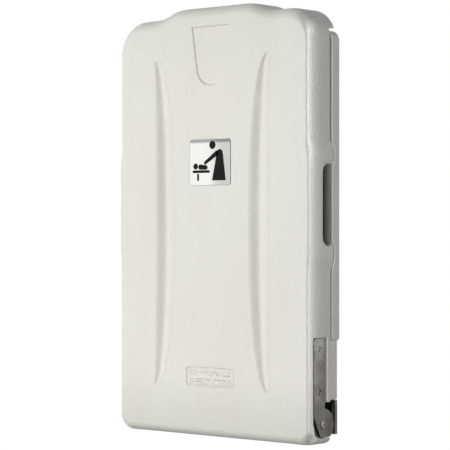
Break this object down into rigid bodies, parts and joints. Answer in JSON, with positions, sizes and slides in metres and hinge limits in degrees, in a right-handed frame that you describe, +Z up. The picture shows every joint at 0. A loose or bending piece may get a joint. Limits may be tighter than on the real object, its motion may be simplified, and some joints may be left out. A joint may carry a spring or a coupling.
{
  "type": "wall-mounted baby changing station",
  "caption": "Upright wall-mounted baby changing station with a moulded fold-down bed on a steel side hinge, finger grips, dished tray, safety strap and liner dispenser.",
  "frame": {"origin": "on the wall, in the middle of the back plate's flat rear face", "axes": "+Z up, +X to the right of someone facing the station, +Y into the wall, so the front faces -Y"},
  "size_m": [0.5462, 0.0982, 0.9015],
  "materials": {
    "pale_plastic": "off-white moulded plastic with a fine pebbled grain",
    "grey_plastic": "grey moulded plastic, lightly grained",
    "brushed_steel": "rolled stainless sheet with a fine lengthwise grain",
    "dark_steel": "dark screw steel with turned faces",
    "sign_steel": "brushed sign plate",
    "black_plastic": "black moulded plastic",
    "webbing": "woven webbing",
    "rubber": "black rubber",
    "bearing_plastic": "natural bearing plastic"
  },
  "bodies": {
    "wall_unit": {"wall_shell": "pale_plastic", "wall_back_plate": "grey_plastic", "hinge_rail": "brushed_steel", "gas_spring_stud": "dark_steel", "liner_cover": "pale_plastic", "wall_bracket_left": "brushed_steel", "wall_bracket_right": "brushed_steel", "bracket_screw_inner_left": "dark_steel", "bracket_screw_inner_right": "dark_steel", "bracket_screw_outer_left": "dark_steel", "bracket_screw_outer_right": "dark_steel", "plate_screw_upper_left": "dark_steel", "plate_screw_upper_right": "dark_steel", "plate_screw_lower_left": "dark_steel", "plate_screw_lower_right": "dark_steel", "rest_bumper_upper_left": "rubber", "rest_bumper_upper_right": "rubber", "rest_bumper_lower_left": "rubber", "rest_bumper_lower_right": "rubber", "thrust_washer_left": "bearing_plastic", "thrust_washer_right": "bearing_plastic", "hinge_bush_left": "bearing_plastic", "hinge_bush_right": "bearing_plastic"},
    "bed": {"bed_cover": "pale_plastic", "bed_tray": "pale_plastic", "gas_spring_anchor": "grey_plastic", "grip_cup_left": "grey_plastic", "grip_cup_right": "grey_plastic", "hinge_rod": "brushed_steel", "gas_spring_anchor_pin": "brushed_steel", "hinge_arm_left": "brushed_steel", "hinge_arm_right": "brushed_steel", "arm_screw_upper_left": "dark_steel", "arm_screw_upper_right": "dark_steel", "arm_screw_lower_left": "dark_steel", "arm_screw_lower_right": "dark_steel", "pivot_screw_left": "dark_steel", "pivot_screw_right": "dark_steel", "tray_screw_top_left": "dark_steel", "tray_screw_top_right": "dark_steel", "tray_screw_middle_left": "dark_steel", "tray_screw_middle_right": "dark_steel", "tray_screw_foot_left": "dark_steel", "tray_screw_foot_right": "dark_steel", "strap_anchor_screw_left": "dark_steel", "strap_anchor_screw_right": "dark_steel", "sign_plate": "sign_steel", "gas_spring_cylinder": "black_plastic", "buckle_socket": "black_plastic", "buckle_plug": "black_plastic", "strap_anchor_left": "black_plastic", "strap_anchor_right": "black_plastic", "strap_left": "webbing", "strap_right": "webbing"},
    "gas_rod": {"gas_spring_rod": "brushed_steel"},
    "liner_lock": {"liner_lock_barrel": "brushed_steel", "liner_lock_cam": "dark_steel"}
  },
  "joints": [
    {"name": "bed_hinge", "type": "hinge", "parent": "wall_unit", "child": "bed", "pos_m": [0, -0.0468, -0.398], "axis": [1, 0, 0], "range_deg": [0, 90], "stiffness_Nm_per_rad": 4, "springref_deg": -57.3},
    {"name": "gas_rod_slide", "type": "slide", "parent": "bed", "child": "gas_rod", "axis": [0, 0, 1], "range_m": [0, 0.0313]},
    {"name": "liner_lock_turn", "type": "hinge", "parent": "wall_unit", "child": "liner_lock", "pos_m": [0, -0.025, 0.274], "axis": [0, -1, 0], "range_deg": [0, 90]}
  ],
  "couplings": [
    {"joint": "gas_rod_slide", "follows": "bed_hinge", "m_per_rad": 0.019807}
  ]
}
